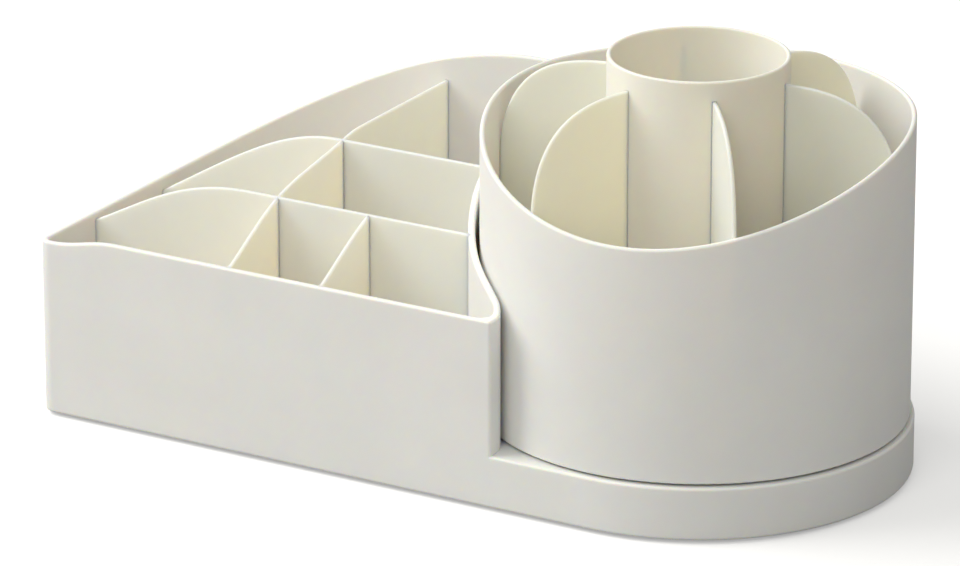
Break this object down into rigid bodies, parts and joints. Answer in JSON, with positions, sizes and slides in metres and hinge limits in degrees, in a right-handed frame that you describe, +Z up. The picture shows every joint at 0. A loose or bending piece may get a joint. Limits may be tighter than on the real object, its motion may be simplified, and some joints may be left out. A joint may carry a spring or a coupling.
{
  "type": "rotating makeup organizer",
  "caption": "Cream plastic desk organizer: a tall-walled tray with thin dividers cradles a round drum with radial fins and a centre tube, which turns on a ball race.",
  "frame": {"origin": "on the table, under the middle of the organizer's outline", "axes": "+X along the straight front wall towards the drum, +Y to the back, +Z up"},
  "size_m": [0.274, 0.14, 0.1371],
  "materials": {
    "tray_plastic": "satin moulded",
    "divider_plastic": "satin moulded",
    "drum_plastic": "satin moulded",
    "race_plastic": "smooth moulded",
    "cage_plastic": "moulded",
    "ball_steel": "polished",
    "screw_steel": "zinc plated",
    "foot_rubber": "matte"
  },
  "bodies": {
    "tray": {"tray_shell": "tray_plastic", "front_long_divider": "divider_plastic", "back_long_divider": "divider_plastic", "cross_divider": "divider_plastic", "short_divider": "divider_plastic", "base_cover": "tray_plastic", "base_screws": "screw_steel", "rubber_feet": "foot_rubber", "lower_race": "race_plastic", "pivot_bush": "race_plastic"},
    "ball_cage": {"ball_cage": "cage_plastic", "bearing_balls": "ball_steel"},
    "drum": {"drum_cup": "drum_plastic", "centre_tube": "drum_plastic", "drum_fin_1": "drum_plastic", "drum_fin_2": "drum_plastic", "drum_fin_3": "drum_plastic", "drum_fin_4": "drum_plastic", "drum_fin_5": "drum_plastic", "drum_fin_6": "drum_plastic", "upper_race": "race_plastic", "retaining_washer": "screw_steel", "pivot_screw": "screw_steel"}
  },
  "joints": [
    {"name": "drum_spin", "type": "hinge", "parent": "tray", "child": "drum", "pos_m": [0.067, 0, 0.02], "axis": [0, 0, 1], "continuous": true},
    {"name": "cage_spin", "type": "hinge", "parent": "tray", "child": "ball_cage", "pos_m": [0.067, 0, 0.02], "axis": [0, 0, 1], "continuous": true}
  ],
  "couplings": [
    {"joint": "cage_spin", "follows": "drum_spin", "ratio": 0.5}
  ]
}
